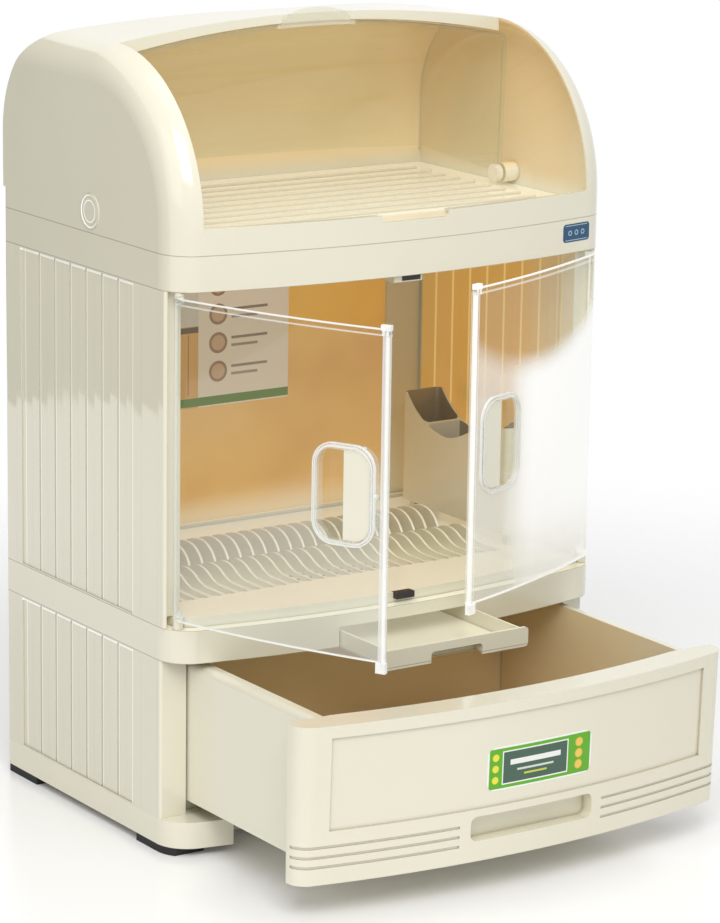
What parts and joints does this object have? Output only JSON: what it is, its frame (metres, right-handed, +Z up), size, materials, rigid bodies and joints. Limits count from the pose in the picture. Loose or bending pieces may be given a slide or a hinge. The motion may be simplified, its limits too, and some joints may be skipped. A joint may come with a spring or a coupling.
{
  "type": "covered dish drying box",
  "caption": "Ivory plastic dish drying box with a pull-out drawer, two clear bowed doors, a plate rack and a hood with a swing-back clear visor.",
  "frame": {"origin": "on the ground under the middle of the box that the part fills at rest", "axes": "+Z up, the doors and the drawer face -Y, +X to the viewer's right"},
  "size_m": [0.5016, 0.564, 0.7832],
  "materials": {
    "ivory": "smooth moulded gloss",
    "clear_plastic": "clear polished",
    "black_rubber": "matte",
    "black_plastic": "matte",
    "steel": "brushed"
  },
  "bodies": {
    "cabinet": {"base_plate": "ivory", "foot_back_left": "black_rubber", "foot_front_left": "black_rubber", "foot_back_right": "black_rubber", "foot_front_right": "black_rubber", "lower_side_left": "ivory", "lower_side_right": "ivory", "middle_side_left": "ivory", "middle_side_right": "ivory", "lower_back": "ivory", "middle_back": "ivory", "middle_base": "ivory", "plate_rack": "ivory", "cutlery_holder": "ivory", "top_frame": "ivory", "lower_magnet": "black_plastic", "upper_catch": "ivory", "upper_magnet": "black_plastic", "hood": "ivory", "pivot_cap_left": "ivory", "pivot_cap_right": "ivory", "drain_tray": "ivory"},
    "drawer": {"drawer_front": "ivory", "drawer_tub": "ivory"},
    "drip_tray_body": {"drip_tray": "ivory"},
    "visor_body": {"visor": "clear_plastic", "visor_pivot_left": "clear_plastic", "visor_pivot_right": "clear_plastic"},
    "door_left": {"door_left_panel": "clear_plastic", "door_left_cup": "clear_plastic", "door_left_grip_plate": "ivory", "door_left_strikes": "steel"},
    "door_right": {"door_right_panel": "clear_plastic", "door_right_cup": "clear_plastic", "door_right_grip_plate": "ivory", "door_right_strikes": "steel"}
  },
  "joints": [
    {"name": "drawer_slide", "type": "slide", "parent": "cabinet", "child": "drawer", "axis": [0, -1, 0], "range_m": [-0.212, 0.05]},
    {"name": "drip_tray_slide", "type": "slide", "parent": "cabinet", "child": "drip_tray_body", "axis": [0, -1, 0], "range_m": [-0.078, 0.04]},
    {"name": "visor_hinge", "type": "hinge", "parent": "cabinet", "child": "visor_body", "pos_m": [0, 0.112, 0.602], "axis": [1, 0, 0], "range_deg": [0, 87.5]},
    {"name": "door_left_hinge", "type": "hinge", "parent": "cabinet", "child": "door_left", "pos_m": [-0.238, -0.031, 0.388], "axis": [0, 0, -1], "range_deg": [-61, 34]},
    {"name": "door_right_hinge", "type": "hinge", "parent": "cabinet", "child": "door_right", "pos_m": [0.238, -0.031, 0.388], "axis": [0, 0, 1], "range_deg": [-17, 78]}
  ]
}
